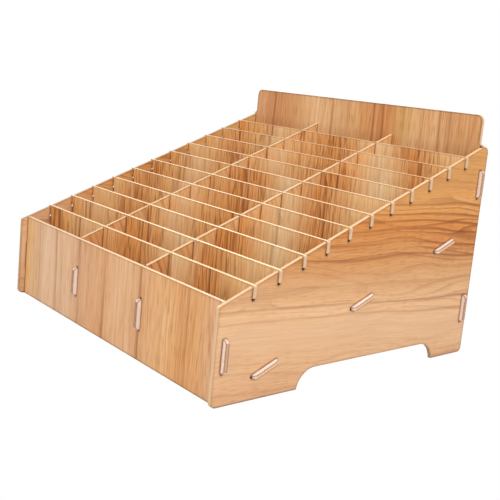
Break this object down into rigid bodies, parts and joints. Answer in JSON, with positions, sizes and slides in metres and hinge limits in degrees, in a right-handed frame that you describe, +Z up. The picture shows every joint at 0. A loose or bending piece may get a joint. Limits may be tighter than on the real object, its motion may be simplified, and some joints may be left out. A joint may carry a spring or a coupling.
{
  "type": "compartment organizer",
  "caption": "Tabletop organizer of slotted wooden boards: a sloped open top, lift-out cross dividers and fixed long dividers over a tilted shelf, between footed side panels.",
  "frame": {"origin": "on the floor under the middle of the case, the bottom centre of its bounding box", "axes": "+X to the right seen from the front, +Y to the rear, +Z up"},
  "size_m": [0.3284, 0.291, 0.219],
  "materials": {
    "side_board": "light wood-grain film, satin",
    "front_board": "light wood-grain film, satin",
    "back_board": "light wood-grain film, satin",
    "shelf_board": "light wood-grain film, satin",
    "divider_board": "light wood-grain film, satin"
  },
  "bodies": {
    "case": {"side_panel_left": "side_board", "side_panel_right": "side_board", "front_panel": "front_board", "back_panel": "back_board", "bottom_shelf": "shelf_board", "long_divider_1": "divider_board", "long_divider_2": "divider_board"},
    "cross_divider_01_board": {"cross_divider_01": "divider_board"},
    "cross_divider_02_board": {"cross_divider_02": "divider_board"},
    "cross_divider_03_board": {"cross_divider_03": "divider_board"},
    "cross_divider_04_board": {"cross_divider_04": "divider_board"},
    "cross_divider_05_board": {"cross_divider_05": "divider_board"},
    "cross_divider_06_board": {"cross_divider_06": "divider_board"},
    "cross_divider_07_board": {"cross_divider_07": "divider_board"},
    "cross_divider_08_board": {"cross_divider_08": "divider_board"},
    "cross_divider_09_board": {"cross_divider_09": "divider_board"},
    "cross_divider_10_board": {"cross_divider_10": "divider_board"},
    "cross_divider_11_board": {"cross_divider_11": "divider_board"}
  },
  "joints": [
    {"name": "cross_divider_01_lift", "type": "slide", "parent": "case", "child": "cross_divider_01_board", "axis": [0, 0, 1], "range_m": [0, 0.072]},
    {"name": "cross_divider_02_lift", "type": "slide", "parent": "case", "child": "cross_divider_02_board", "axis": [0, 0, 1], "range_m": [0, 0.072]},
    {"name": "cross_divider_03_lift", "type": "slide", "parent": "case", "child": "cross_divider_03_board", "axis": [0, 0, 1], "range_m": [0, 0.072]},
    {"name": "cross_divider_04_lift", "type": "slide", "parent": "case", "child": "cross_divider_04_board", "axis": [0, 0, 1], "range_m": [0, 0.072]},
    {"name": "cross_divider_05_lift", "type": "slide", "parent": "case", "child": "cross_divider_05_board", "axis": [0, 0, 1], "range_m": [0, 0.072]},
    {"name": "cross_divider_06_lift", "type": "slide", "parent": "case", "child": "cross_divider_06_board", "axis": [0, 0, 1], "range_m": [0, 0.072]},
    {"name": "cross_divider_07_lift", "type": "slide", "parent": "case", "child": "cross_divider_07_board", "axis": [0, 0, 1], "range_m": [0, 0.072]},
    {"name": "cross_divider_08_lift", "type": "slide", "parent": "case", "child": "cross_divider_08_board", "axis": [0, 0, 1], "range_m": [0, 0.072]},
    {"name": "cross_divider_09_lift", "type": "slide", "parent": "case", "child": "cross_divider_09_board", "axis": [0, 0, 1], "range_m": [0, 0.072]},
    {"name": "cross_divider_10_lift", "type": "slide", "parent": "case", "child": "cross_divider_10_board", "axis": [0, 0, 1], "range_m": [0, 0.072]},
    {"name": "cross_divider_11_lift", "type": "slide", "parent": "case", "child": "cross_divider_11_board", "axis": [0, 0, 1], "range_m": [0, 0.072]}
  ]
}
